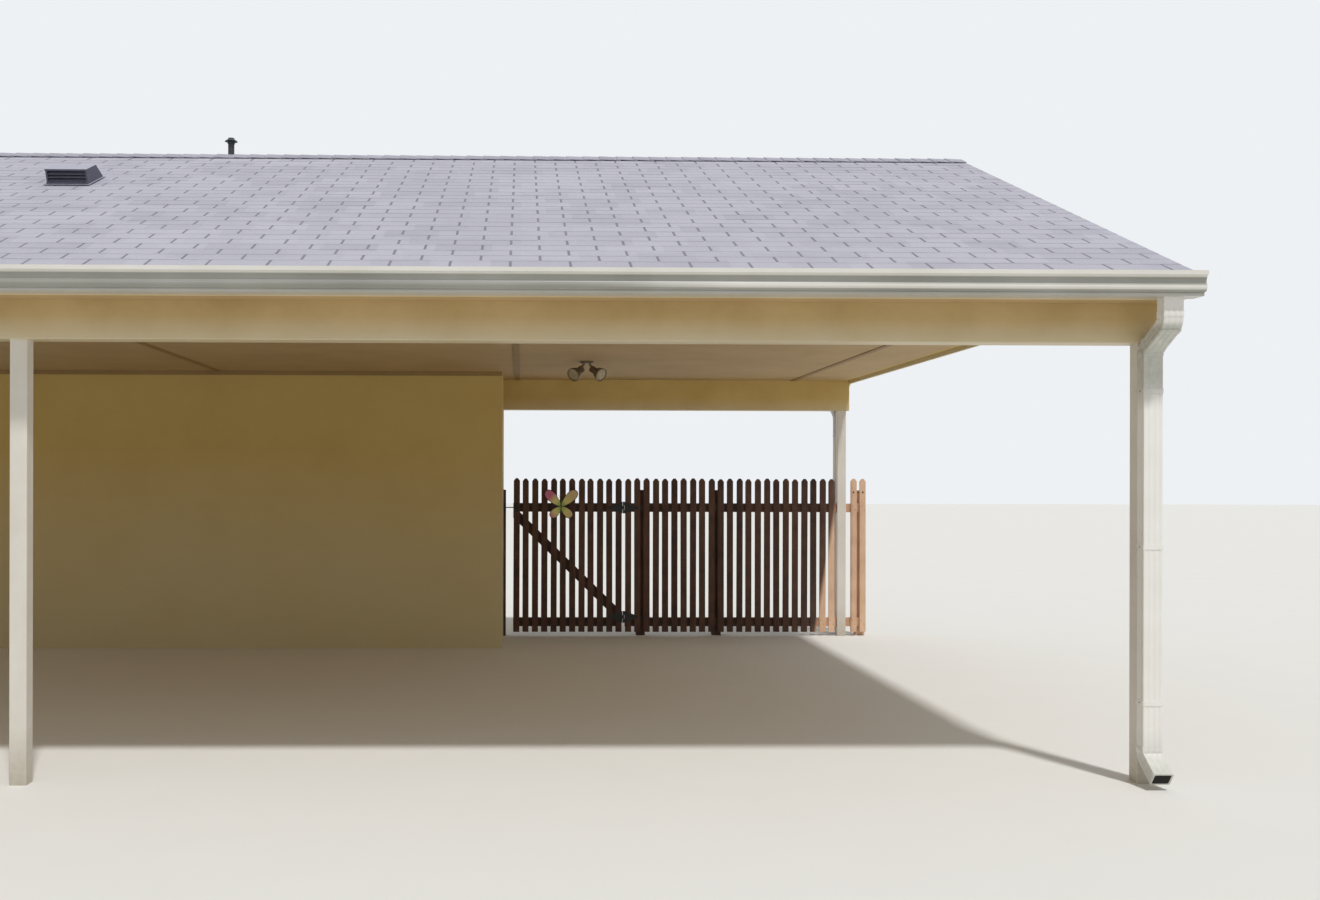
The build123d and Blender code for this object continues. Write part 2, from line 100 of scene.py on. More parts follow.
def loft(shape, rings, finish=0, capped=True):
    """Joins rings of points, each with as many as the next, into one closed skin."""
    loops = [[shape.verts.new(point) for point in ring] for ring in rings]
    skin = []
    for near, far in zip(loops, loops[1:]):
        for i in range(len(near)):
            j = (i + 1) % len(near)
            skin.append(shape.faces.new((near[i], near[j], far[j], far[i])))
    if capped:
        skin.append(shape.faces.new(loops[0][::-1]))
        skin.append(shape.faces.new(loops[-1]))
    for face in skin:
        face.material_index = finish
    return loops


def block(shape, x, y, z, finish=0):
    """A plain-sided piece between pairs of limits, for parts of a built-up shape."""
    (left, right), (near, far) = sorted(x), sorted(y)
    ring = [(left, near), (right, near), (right, far), (left, far)]
    loft(shape, [[(u, v, w) for u, v in ring] for w in z], finish)


def eased(half_u, half_v, ease):
    """Outline of a rectangle with its corners cut off."""
    return [
        (-half_u + ease, -half_v), (half_u - ease, -half_v),
        (half_u, -half_v + ease), (half_u, half_v - ease),
        (half_u - ease, half_v), (-half_u + ease, half_v),
        (-half_u, half_v - ease), (-half_u, -half_v + ease),
    ]


def turned(shape, profile, place, sides=20, finish=0):
    """A round piece from (radius, height) pairs, turned about the Z axis of a placement."""
    rings = []
    for radius, height in profile:
        angles = [2 * math.pi * i / sides for i in range(sides)]
        rings.append([
            place @ Vector((radius * math.cos(a), radius * math.sin(a), height))
            for a in angles
        ])
    loft(shape, rings, finish)


def facing(point, direction):
    """A placement at a point whose Z axis runs in the given direction."""
    turn = Vector(direction).to_track_quat("Z", "Y").to_matrix().to_4x4()
    return Matrix.Translation(point) @ turn


def screw(shape, point, direction, radius=0.005, finish=0):
    """A low domed screw or nail head on a surface."""
    profile = [(radius, 0), (radius, radius * 0.2), (radius * 0.6, radius * 0.45)]
    turned(shape, profile, facing(point, direction), 8, finish)


def deliver(name, shape, finishes, body="root", replaces=(), crease=30):
    """Makes a shape into a piece that rides on a body, with its finishes as its materials."""
    bmesh.ops.recalc_face_normals(shape, faces=shape.faces)
    for edge in shape.edges:
        edge.smooth = edge.calc_face_angle(math.pi) < math.radians(crease)
    for face in shape.faces:
        face.smooth = True
    mesh = bpy.data.meshes.new(name)
    shape.to_mesh(mesh)
    shape.free()
    for finish in finishes:
        mesh.materials.append(finish)
    piece = bpy.data.objects.new(name, mesh)
    bpy.context.scene.collection.objects.link(piece)
    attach(piece, body)
    if replaces:
        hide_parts(*replaces)
    return piece


# Finishes


def srgb(code):
    """A linear colour from an sRGB hex value."""
    levels = [int(code[i:i + 2], 16) / 255 for i in (0, 2, 4)]
    return [v / 12.92 if v <= 0.04045 else ((v + 0.055) / 1.055) ** 2.4 for v in levels] + [1]


def add_node(tree, kind, settings, inputs):
    """Adds a node, with its settings, and its inputs as values or as links."""
    node = tree.nodes.new(kind)
    for key, value in settings.items():
        setattr(node, key, value)
    for key, value in inputs.items():
        if isinstance(value, bpy.types.NodeSocket):
            tree.links.new(value, node.inputs[key])
        else:
            node.inputs[key].default_value = value
    return node


def start_finish(name, roughness, metallic=0.0, ior=1.5):
    """A new material. Gives it, its nodes, the shader and the place on the object."""
    material = bpy.data.materials.new(name)
    material.use_nodes = True
    tree = material.node_tree
    tree.nodes.clear()
    shader = add_node(tree, "ShaderNodeBsdfPrincipled", {}, {
        "Roughness": roughness, "Metallic": metallic, "IOR": ior,
    })
    add_node(tree, "ShaderNodeOutputMaterial", {}, {"Surface": shader.outputs[0]})
    place = add_node(tree, "ShaderNodeTexCoord", {}, {}).outputs["Object"]
    return material, tree, shader, place


def coat(tree, shader, colour, height, relief, strength):
    """Gives a shader its colour, and a relief in metres that follows the height of a pattern."""
    bump = add_node(tree, "ShaderNodeBump", {}, {
        "Height": height, "Distance": relief, "Strength": strength,
    })
    tree.links.new(colour, shader.inputs["Base Color"])
    tree.links.new(bump.outputs[0], shader.inputs["Normal"])


def stain_and_light_by_height(tree, place, colour, stain_and_light_colour, stain_and_light_bands, patch, reach=None):
    """Mixes a second colour into a colour by height, in patches of a given size: real soil on some
    finishes, painted shade and painted light on others.

    The bands pair a height with the second colour's share there. reach holds the distances from
    the middle of the building between which the mix thins out to nothing.
    """
    foot, head = stain_and_light_bands[0][0], stain_and_light_bands[-1][0]
    axes = add_node(tree, "ShaderNodeSeparateXYZ", {}, {0: place})
    part = add_node(tree, "ShaderNodeMapRange", {}, {
        "Value": axes.outputs[2], "From Min": foot, "From Max": head,
    })
    share = add_node(tree, "ShaderNodeValToRGB", {}, {0: part.outputs[0]})
    stops = share.color_ramp.elements
    for level, amount in stain_and_light_bands[1:-1]:
        stops.new((level - foot) / (head - foot))
    for stop, (level, amount) in zip(stops, stain_and_light_bands):
        stop.color = (amount, amount, amount, 1)
    patch_noise = add_node(tree, "ShaderNodeTexNoise", {}, {
        "Vector": place, "Scale": 1 / patch, "Detail": 4.0,
    })
    patchy = add_node(tree, "ShaderNodeMapRange", {}, {
        "Value": patch_noise.outputs["Fac"], "From Min": 0.3, "From Max": 0.7, "To Min": 0.7,
    })
    stain_and_light_share = add_node(tree, "ShaderNodeMath", {"operation": "MULTIPLY"}, {
        0: share.outputs[0], 1: patchy.outputs[0],
    })
    if reach:
        sideways = add_node(tree, "ShaderNodeMath", {"operation": "ABSOLUTE"}, {
            0: axes.outputs[0],
        })
        thinning = add_node(tree, "ShaderNodeMapRange", {}, {
            "Value": sideways.outputs[0], "From Min": reach[0], "From Max": reach[1],
            "To Min": 1.0, "To Max": 0.0,
        })
        stain_and_light_share = add_node(tree, "ShaderNodeMath", {"operation": "MULTIPLY"}, {
            0: stain_and_light_share.outputs[0], 1: thinning.outputs[0],
        })
    return add_node(tree, "ShaderNodeMix", {"data_type": "RGBA"}, {
        0: stain_and_light_share.outputs[0], 6: colour, 7: srgb(stain_and_light_colour),
    }).outputs[2]


def paint(name, fresh, faded, roughness, stroke, relief, stain_and_light_colour=None, stain_and_light_bands=(), patch=0.03,
          middle_shade_bands=(), middle_shade_reach=None):
    """Exterior paint: cloudy fading over patches of 0.4 m, and a relief of brush strokes.

    stroke is the size of the relief along X, Y and Z in metres, and relief its depth. A second
    colour lies over the paint in bands of height: soil on the posts and at the foot of the pipes,
    painted shade on the gutters and high on the pipes, and painted light bounced from the floor on
    the beams and the wall. Other bands around the middle of the building hold painted shade.
    """
    material, tree, shader, place = start_finish(name, roughness)
    cloud = add_node(tree, "ShaderNodeTexNoise", {}, {
        "Vector": place, "Scale": 1 / 0.4, "Detail": 5.0, "Roughness": 0.6,
    })
    cloudy = add_node(tree, "ShaderNodeMapRange", {}, {
        "Value": cloud.outputs["Fac"], "From Min": 0.35, "From Max": 0.68,
    })
    colour = add_node(tree, "ShaderNodeMix", {"data_type": "RGBA"}, {
        0: cloudy.outputs[0], 6: srgb(fresh), 7: srgb(faded),
    }).outputs[2]
    for levels, reach in ((stain_and_light_bands, None), (middle_shade_bands, middle_shade_reach)):
        if levels:
            colour = stain_and_light_by_height(tree, place, colour, stain_and_light_colour, levels, patch, reach)
    scaled = add_node(tree, "ShaderNodeMapping", {}, {
        "Vector": place, "Scale": [1 / s for s in stroke],
    })
    ripple = add_node(tree, "ShaderNodeTexNoise", {}, {
        "Vector": scaled.outputs[0], "Scale": 1.0, "Detail": 3.0,
    })
    coat(tree, shader, colour, ripple.outputs["Fac"], relief, 0.6)
    return material


def shingle_granules(name, tab_length, exposure, side, light, dark):
    """Asphalt shingles: ceramic granules, a tone of its own for each tab, and dark streaks.

    The granules are about 1.5 mm, drawn at 6 mm so that they show. The pattern of tones
    follows the tabs: coordinates turn about X into the plane of the slope.
    """
    material, tree, shader, place = start_finish(name, 0.92, ior=1.45)
    level = add_node(tree, "ShaderNodeMapping", {"vector_type": "POINT"}, {
        "Vector": place, "Rotation": (side * math.atan(5 / 12), 0, 0),
    })
    tabs = add_node(tree, "ShaderNodeTexBrick", {"offset": 0.5}, {
        "Vector": level.outputs[0], "Color1": (0, 0, 0, 1), "Color2": (1, 1, 1, 1),
        "Mortar": (0.4, 0.4, 0.4, 1), "Scale": 1.0, "Mortar Size": 0.0, "Bias": 0.0,
        "Brick Width": tab_length, "Row Height": exposure,
    })
    blotch = add_node(tree, "ShaderNodeTexNoise", {}, {
        "Vector": place, "Scale": 1 / 0.5, "Detail": 6.0, "Roughness": 0.65,
    })
    speck = add_node(tree, "ShaderNodeTexNoise", {}, {
        "Vector": place, "Scale": 1 / 0.006, "Detail": 2.0, "Roughness": 0.7,
    })
    faint = add_node(tree, "ShaderNodeMapRange", {}, {
        "Value": blotch.outputs["Fac"], "From Min": 0.3, "From Max": 0.7, "To Min": 0.42,
        "To Max": 0.58,
    })
    tone = add_node(tree, "ShaderNodeMath", {"operation": "MULTIPLY_ADD"}, {
        0: tabs.outputs[0], 1: 0.22, 2: faint.outputs[0],
    })
    grain = add_node(tree, "ShaderNodeMath", {"operation": "MULTIPLY_ADD"}, {
        0: speck.outputs["Fac"], 1: 0.9, 2: tone.outputs[0],
    })
    weight = add_node(tree, "ShaderNodeMapRange", {}, {
        "Value": grain.outputs[0], "From Min": 0.7, "From Max": 1.5,
    })
    colour = add_node(tree, "ShaderNodeMix", {"data_type": "RGBA"}, {
        0: weight.outputs[0], 6: srgb(light), 7: srgb(dark),
    }).outputs[2]
    coat(tree, shader, colour, speck.outputs["Fac"], 0.002, 0.8)
    return material


def stained_timber(name, grain, board, light, dark, painted_light=None):
    """Softwood boards with a semi-opaque stain, which leaves the grain and weathers unevenly.

    grain is the size of the figure along X, Y and Z, and board the pitch of the boards along
    X, so that each one has a tone of its own. The last argument is the pair of paler colours
    painted beyond the slanting line that the sun reaches in under the roof: painted sunlight.
    """
    material, tree, shader, place = start_finish(name, 0.78)
    scaled = add_node(tree, "ShaderNodeMapping", {}, {
        "Vector": place, "Scale": [1 / s for s in grain],
    })
    figure = add_node(tree, "ShaderNodeTexNoise", {}, {
        "Vector": scaled.outputs[0], "Scale": 1.0, "Detail": 4.0, "Distortion": 0.6,
    })
    along, _, height = add_node(tree, "ShaderNodeSeparateXYZ", {}, {0: place}).outputs
    counted = add_node(tree, "ShaderNodeMath", {"operation": "DIVIDE"}, {0: along, 1: board})
    whole = add_node(tree, "ShaderNodeMath", {"operation": "FLOOR"}, {0: counted.outputs[0]})
    own = add_node(tree, "ShaderNodeTexWhiteNoise", {"noise_dimensions": "1D"}, {
        "W": whole.outputs[0],
    })
    worn = add_node(tree, "ShaderNodeTexNoise", {}, {
        "Vector": place, "Scale": 1 / 0.15, "Detail": 5.0,
    })
    tone = add_node(tree, "ShaderNodeMath", {"operation": "MULTIPLY_ADD"}, {
        0: own.outputs["Value"], 1: 0.45, 2: worn.outputs["Fac"],
    })
    mixed = add_node(tree, "ShaderNodeMath", {"operation": "MULTIPLY_ADD"}, {
        0: figure.outputs["Fac"], 1: 0.8, 2: tone.outputs[0],
    })
    weight = add_node(tree, "ShaderNodeMapRange", {}, {
        "Value": mixed.outputs[0], "From Min": 0.75, "From Max": 1.5,
    })
    colour = add_node(tree, "ShaderNodeMix", {"data_type": "RGBA"}, {
        0: weight.outputs[0], 6: srgb(light), 7: srgb(dark),
    }).outputs[2]
    # Painted sunlight: paler colours beyond the slanting edge of the sun
    if painted_light:
        pale = add_node(tree, "ShaderNodeMix", {"data_type": "RGBA"}, {
            0: weight.outputs[0], 6: srgb(painted_light[0]), 7: srgb(painted_light[1]),
        })
        outward = add_node(tree, "ShaderNodeMath", {"operation": "ABSOLUTE"}, {0: along})
        sun_line = add_node(tree, "ShaderNodeMath", {"operation": "MULTIPLY_ADD"}, {
            0: height, 1: sun_edge_lean, 2: sun_edge_foot,
        })
        past = add_node(tree, "ShaderNodeMath", {"operation": "SUBTRACT"}, {
            0: outward.outputs[0], 1: sun_line.outputs[0],
        })
        sunned = add_node(tree, "ShaderNodeMapRange", {}, {
            "Value": past.outputs[0], "From Min": -0.01, "From Max": 0.03,
        })
        colour = add_node(tree, "ShaderNodeMix", {"data_type": "RGBA"}, {
            0: sunned.outputs[0], 6: colour, 7: pale.outputs[2],
        }).outputs[2]
    coat(tree, shader, colour, figure.outputs["Fac"], 0.0015, 0.9)
    return material


def hard_surface(name, light, dark, grit, relief, roughness, metallic=0.0, ior=1.5,
                 painted_light=None):
    """Metal, plastic or glass with a fine mottle, whose grit is its size in metres.

    The last argument is a paler colour painted where the surface faces up: painted light from
    above.
    """
    material, tree, shader, place = start_finish(name, roughness, metallic, ior)
    mottle = add_node(tree, "ShaderNodeTexNoise", {}, {
        "Vector": place, "Scale": 1 / grit, "Detail": 4.0,
    })
    colour = add_node(tree, "ShaderNodeMix", {"data_type": "RGBA"}, {
        0: mottle.outputs["Fac"], 6: srgb(light), 7: srgb(dark),
    }).outputs[2]
    # Painted light: paler where the surface faces up
    if painted_light:
        facing_way = add_node(tree, "ShaderNodeNewGeometry", {}, {}).outputs["Normal"]
        upward = add_node(tree, "ShaderNodeSeparateXYZ", {}, {0: facing_way}).outputs[2]
        sunned = add_node(tree, "ShaderNodeMapRange", {}, {
            "Value": upward, "From Min": 0.7, "From Max": 0.95,
        })
        colour = add_node(tree, "ShaderNodeMix", {"data_type": "RGBA"}, {
            0: sunned.outputs[0], 6: colour, 7: srgb(painted_light),
        }).outputs[2]
    coat(tree, shader, colour, mottle.outputs["Fac"], relief, 0.5)
    return material


def wing_enamel(name, tip):
    """Glossy enamel that blends outwards over 0.16 m from the middle of the ornament."""
    material, tree, shader, place = start_finish(name, 0.35)
    away = add_node(tree, "ShaderNodeVectorMath", {"operation": "DISTANCE"}, {
        0: place, 1: ornament_spot,
    }).outputs["Value"]
    brushed = add_node(tree, "ShaderNodeTexNoise", {}, {
        "Vector": place, "Scale": 1 / 0.02, "Detail": 4.0,
    })
    part = add_node(tree, "ShaderNodeMath", {"operation": "MULTIPLY_ADD"}, {
        0: brushed.outputs["Fac"], 1: 0.04, 2: away,
    })
    colour = srgb("8FB04A")
    for start, end, outer in ((0.03, 0.09, "E4DC84"), (0.11, 0.17, tip)):
        share = add_node(tree, "ShaderNodeMapRange", {}, {
            "Value": part.outputs[0], "From Min": start, "From Max": end,
        })
        colour = add_node(tree, "ShaderNodeMix", {"data_type": "RGBA"}, {
            0: share.outputs[0], 6: colour, 7: srgb(outer),
        }).outputs[2]
    coat(tree, shader, colour, brushed.outputs["Fac"], 0.0005, 0.5)
    return material


# Off-white gloss paint on square posts: brushed upwards, splashed with soil at the foot
post_paint = paint("gloss_paint_on_posts", "E3DED4", "D9D3C7", 0.42, (0.004, 0.004, 0.09),
                   0.0006, "9A8E76", [(0.0, 0.65), (0.3, 0.0)])
# Cream enamel baked on bent aluminium sheet, with the long soft ripples of thin sheet,
# paler towards the lower edge: painted light bounced up from the floor
beam_wrap = paint("cream_enamel_on_sheet", "C8AD79", "B89C65", 0.38, (0.9, 0.12, 0.12), 0.0015,
                  "D6CCAE", [(2.3, 0.85), (2.43, 0.0)], 0.3)
# The same enamel in a deeper gold on the rear beams, with the same painted light at the lower edge
rear_beam_wrap = paint("gold_enamel_on_sheet", "CFB26A", "C3A35A", 0.38, (0.9, 0.12, 0.12),
                       0.0015, "D6CCAE", [(2.3, 0.6), (2.43, 0.0)], 0.3)
# Flat yellow paint rolled on smooth exterior plywood, with a fine roller nap, paler and greyer
# from the foot up to shoulder height: painted light bounced from the floor
wall_paint = paint("yellow_paint_on_plywood", "CBAF68", "C6A962", 0.68, (0.005, 0.005, 0.006),
                   0.0006, "D2CAA8", [(0.0, 0.8), (0.8, 0.6), (1.9, 0.0)], 1.2)
# Cream semi-gloss paint on planed boards, brushed along the boards
trim_paint = paint("cream_paint_on_boards", "E0D3AC", "D6C79C", 0.45, (0.09, 0.006, 0.004),
                   0.0005)
# Tan flat paint on ceiling plywood, whose grain shows faintly through it
ceiling_paint = paint("tan_paint_on_plywood", "C3A779", "B89C6F", 0.72, (0.3, 0.012, 0.012),
                      0.0006)
# Brown flat paint on the strips and battens of the ceiling, brushed along them; on the batten at
# the top of the wall it stands for the shade in that corner
strip_paint = paint("brown_paint_on_strips", "9C7E4C", "907344", 0.6, (0.05, 0.05, 0.004), 0.0005)
# Off-white enamel on roll-formed aluminium, glossier than brushed paint: the gutters are grey
# with painted shade in the cove below the lip and under the belly, and on the belly too except near
# the ends, and the pipes are grey with soil at the foot and with painted shade under the eave
gutter_enamel = paint("enamel_on_gutters", "E6E4DD", "DEDBD2", 0.32, (0.25, 0.25, 0.25),
                      0.0008, "8C8C84", [(2.51, 0.5), (2.521, 0.55), (2.525, 0.95), (2.536, 0.95),
                                         (2.54, 0.0), (2.556, 0.0), (2.562, 0.75), (2.597, 1.0),
                                         (2.603, 0.0)], 0.8,
                      [(2.53, 0.0), (2.54, 1.0), (2.562, 1.0), (2.575, 0.0)], (2.9, 3.7))
# Pipes: soil at the foot, and painted shade from 1.95 m up to the outlet, where the eave shades
# them
pipe_enamel = paint("enamel_on_downspouts", "F3F1EC", "EAE7DF", 0.32, (0.25, 0.25, 0.25),
                    0.0008, "8E9283", [(0.0, 0.7), (0.3, 0.0), (1.95, 0.0), (2.1, 0.55),
                                       (2.36, 0.65), (2.385, 0.1)])
front_granules = shingle_granules("asphalt_granules_front", 0.305, 0.127, 1,
                                  "C6C5D0", "9D9CA8")
rear_granules = shingle_granules("asphalt_granules_rear", 0.305, 0.127, -1,
                                 "C6C5D0", "9D9CA8")
ridge_granules = shingle_granules("asphalt_granules_ridge", 0.127, 0.6, 0,
                                  "BEBDC9", "898894")
# The same granules in the slots between the tabs, dark with grit and out of the sun
slot_granules = shingle_granules("asphalt_granules_in_slots", 0.305, 0.127, 0,
                                 "918F9B", "767480")
# Red-brown stain over spruce, upright on pickets and posts, lengthwise on rails; painted sunlight
# near the ends
upright_stain = stained_timber("brown_stain_on_pickets", (0.006, 0.006, 0.16), picket_pitch,
                               "654736", "382520", ("E3BE9F", "C0987A"))
lengthwise_stain = stained_timber("brown_stain_on_rails", (0.16, 0.006, 0.006), 1.2,
                                  "5C3F32", "322019", ("D3A888", "A98064"))
# Pine under the shingles, seen only where the deck shows at its edges
deck_timber = stained_timber("bare_pine_deck", (0.2, 0.01, 0.01), 1.2, "B99A6B", "8F7246")
# Forged iron under black paint, slightly pitted
black_iron = hard_surface("black_paint_on_iron", "1A1817", "0F0E0D", 0.004, 0.0004, 0.5)
# Zinc-coated sheet that has gone dull and dark on the roof; its upward faces are painted paler, a
# painted sheen of the sky
vent_sheet = hard_surface("weathered_zinc_sheet", "6C6B7B", "53525F", 0.02, 0.0003, 0.55, 0.6,
                          painted_light="B4B3C0")
# Bare zinc of the louvres, a lighter copy of the hood's sheet: painted light against the shade in
# the vent's mouth
louvre_sheet = hard_surface("dull_zinc_louvres", "7E7D8E", "636272", 0.02, 0.0003, 0.6, 0.3)
# Soft dark lead and plastic pipe of the roof vent
pipe_lead = hard_surface("dark_lead_pipe", "4A4D52", "303236", 0.015, 0.0004, 0.6, 0.3)
# Moulded ABS of the lamp holders, browned by age
lamp_plastic = hard_surface("brown_moulded_plastic", "7C6B4C", "5C4D34", 0.003, 0.0002, 0.4)
# Pressed glass of the lamps, frosted from inside
lamp_glass = hard_surface("pressed_lamp_glass", "BDAD8C", "85775B", 0.02, 0.0006, 0.12, ior=1.52)
# Satin nickel of the door furniture
nickel = hard_surface("satin_nickel", "C8C4BA", "ABA79E", 0.002, 0.0001, 0.3, 1.0)
# Galvanised nails and screws, dulled
nail_zinc = hard_surface("dull_zinc_nails", "5A5550", "3D3936", 0.002, 0.0002, 0.55, 0.7)
# Enamel on the wings of the ornament: green at the body, yellow, then its own colour at the tip
left_wing = wing_enamel("pink_tipped_enamel", "D0688A")
right_wing = wing_enamel("ochre_tipped_enamel", "DDC48E")
# Dark rim and moss-green body of the ornament
wing_rim = hard_surface("dark_red_enamel_rim", "4A2420", "351A18", 0.004, 0.0003, 0.45)
moss_enamel = hard_surface("moss_green_enamel", "5F7F2E", "3F5A1E", 0.005, 0.0003, 0.4)
# Near-black painted shade in the hollow of a pipe or vent, standing for the dark inside
mouth_shade = hard_surface("painted_shade_in_mouths", "1B1A19", "0F0F0E", 0.01, 0.0003, 0.9)

# A part of the frame takes the finish of the first of these words in its name, or trim paint
finish_words = (
    ("strips", strip_paint), ("ceiling", ceiling_paint), ("soffits", ceiling_paint),
    ("gutter", gutter_enamel), ("roof_vent", vent_sheet), ("vent_pipe", pipe_lead),
    ("rear_beam", rear_beam_wrap), ("beam", beam_wrap), ("ironwork", black_iron),
    ("fence_posts", upright_stain), ("post", post_paint), ("wall", wall_paint),
    ("", trim_paint),
)
for node_name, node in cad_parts.items():
    node.data.materials.clear()
    node.data.materials.append(next(finish for word, finish in finish_words if word in node_name))


# Roof: a deck with courses of three-tab shingles, each course half a tab on from the last
slope_length = roof_edge / slope_run
tab_length = 0.305
exposure = 0.127
tab_slot = 0.014
tab_lap = 0.015
tab_butt = 0.0025
tab_head = 0.001
tab_seat = 0.0004
narrowest_tab = 0.02
deck_drop = 0.008
deck_setback = 0.003
deck_skin = 0.0005


def on_slope(side, x, up, lift):
    """A point on a slope: up it from the eave, and lifted square to it above the deck."""
    y = roof_edge - up * slope_run
    z = roof_top(roof_edge) - deck_drop + up * slope_rise
    return Vector((x, side * (y + lift * slope_rise), z + lift * slope_run))


def shingle_slope(name, side, granules, node_name):
    """One slope of the roof with its deck and all its tabs."""
    shape = bmesh.new()
    deck_under = -(roof_plumb - deck_drop) * slope_run
    deck_end = roof_half_length - deck_setback
    corners = ((-deck_end, 0), (deck_end, 0), (deck_end, slope_length), (-deck_end, slope_length))
    for lifts, finish in (((deck_under, -deck_skin), 1), ((-deck_skin, deck_skin), 2)):
        loft(shape, [[on_slope(side, x, up, lift) for x, up in corners] for lift in lifts], finish)
    courses = math.ceil(slope_length / exposure)
    for course in range(courses):
        foot = course * exposure
        first = -roof_half_length - (0.5 * tab_length if course % 2 else 0)
        for i in range(math.ceil(2 * roof_half_length / tab_length) + 1):
            left = max(first + i * tab_length + tab_slot / 2, -roof_half_length)
            right = min(first + (i + 1) * tab_length - tab_slot / 2, roof_half_length)
            butt = tab_butt + draw.uniform(-0.0004, 0.0006)
            low = foot + draw.uniform(-0.0015, 0.0015)
            high = min(foot + exposure + tab_lap, slope_length)
            if right - left < narrowest_tab:
                continue
            skew = draw.uniform(-0.001, 0.001)
            rings = []
            for up, thick in ((low, butt), (high, tab_head)):
                rings.append([
                    on_slope(side, left, up + skew, tab_seat),
                    on_slope(side, right, up - skew, tab_seat),
                    on_slope(side, right, up - skew, thick),
                    on_slope(side, left, up + skew, thick),
                ])
            loft(shape, rings)
    deliver(name, shape, [granules, deck_timber, slot_granules], replaces=[node_name])


shingle_slope("front_shingles", -1, front_granules, "roof_front")
shingle_slope("rear_shingles", 1, rear_granules, "roof_rear")

# Ridge: single tabs bent over it, each lapping the next
cap_reach = 0.15
cap_bend = 0.03
cap_thick = 0.0055
cap_lap = 0.03
ridge = bmesh.new()
cap_count = math.floor(2 * roof_half_length / exposure)
cap_step = 2 * roof_half_length / cap_count
for i in range(cap_count):
    left = -roof_half_length + i * cap_step
    rings = []
    right = min(left + cap_step + cap_lap, roof_half_length)
    for x, lift in ((left, 0.009), (right, 0.003)):
        outer = []
        inner = []
        for y in (-cap_reach, -cap_bend, 0, cap_bend, cap_reach):
            ease = 0.004 if y == 0 else 0
            z = roof_top(y) + draw.uniform(0, 0.0012)
            outer.append((x, y, z + lift - ease))
            inner.append((x, y, z + lift - cap_thick - ease))
        rings.append(outer + inner[::-1])
    loft(ridge, rings)
deliver("ridge_shingles", ridge, [ridge_granules], replaces=["ridge_cap"])

# Drip edges of bent sheet under the shingles, along the rakes and over the gutters: a flange on
# the deck, and a face that hangs from it
drip_sheet = 0.0015
flange_sheet = 0.0012
flange = 0.06
rake_drop = 0.034
eave_drop = 0.04
drips = bmesh.new()
for side in (-1, 1):
    for end in (-1, 1):
        edge_x = end * roof_half_length
        for width, drop in ((drip_sheet, rake_drop), (flange, flange_sheet)):
            inner_x = edge_x - end * width
            corners = ((edge_x, -drop), (inner_x, -drop), (inner_x, 0.0), (edge_x, 0.0))
            loft(drips, [[on_slope(side, x, up, lift) for x, lift in corners]
                         for up in (0.0, slope_length)])
    for inner, drop in ((0.0, eave_drop), (flange, flange_sheet)):
        corners = ((-drip_sheet, -drop), (inner, -drop), (inner, 0.0), (-drip_sheet, 0.0))
        loft(drips, [[on_slope(side, x, up, lift) for up, lift in corners]
                     for x in (-roof_half_length, roof_half_length)])
deliver("drip_edges", drips, [gutter_enamel])

# Gutter hangers: a strap across the trough every 0.6 m, screwed to the fascia
hangers = bmesh.new()
hanger_count = 20
hanger_half = 0.012
hanger_sheet = 0.002
foot_sheet = 0.003
for side in (-1, 1):
    for i in range(hanger_count):
        x = (i + 0.5) * 2 * half_length / hanger_count - half_length
        path = [(0.004, -0.012), (0.035, -0.016), (0.112, -0.016), (0.146, -0.006)]
        rings = []
        for out, drop in path:
            y = side * (fascia_out + out)
            z = gutter_top + drop
            rings.append([(x - hanger_half, y, z), (x + hanger_half, y, z),
                          (x + hanger_half, y, z + hanger_sheet),
                          (x - hanger_half, y, z + hanger_sheet)])
        loft(hangers, rings)
        foot_back = side * (fascia_out + foot_sheet)
        foot_front = side * (fascia_out + 2 * foot_sheet)
        block(hangers, (x - hanger_half, x + hanger_half), (foot_back, foot_front),
              (gutter_top - 0.03, gutter_top - 0.008))
        screw(hangers, (x, foot_front, gutter_top - 0.02), (0, side, 0), 0.004)
deliver("gutter_hangers", hangers, [gutter_enamel])

# Downspouts: fluted pipe swept from the outlet, under the eave, down the post to the shoe
pipe_half_width = 0.051
pipe_half_depth = 0.038
outlet_y = fascia_out + 0.004 + pipe_half_depth
pipe_y = post_row + post_half + 0.0025 + pipe_half_depth
strap_levels = (0.42, 1.23, 2.04)
strap_height = 0.026
strap_ear = (0.036, 0.053)
strap_sheet = 0.006
bend_radius = 0.055
bend_steps = 7
outlet_drop = 0.13
shoe_bend = 0.155
shoe_reach = 0.127
shoe_lift = 0.062


def rounded_route(points, radius, steps):
    """Points and directions along straight runs in the YZ plane, joined by tangent arcs."""
    stations = []
    for i, point in enumerate(points):
        here = Vector(point)
        if i in (0, len(points) - 1):
            other = Vector(points[1] if i == 0 else points[i - 1])
            direction = (other - here) if i == 0 else (here - other)
            stations.append((here, direction.normalized()))
            continue
        before = (here - Vector(points[i - 1])).normalized()
        after = (Vector(points[i + 1]) - here).normalized()
        turn = before.angle(after)
        back_off = radius * math.tan(turn / 2)
        start = here - before * back_off
        for step in range(steps + 1):
            part = turn * step / steps
            toward = (after - before * before.dot(after)).normalized()
            direction = before * math.cos(part) + toward * math.sin(part)
            arc = before * (radius * math.sin(part)) + toward * (radius * (1 - math.cos(part)))
            stations.append((start + arc, direction))
    return stations


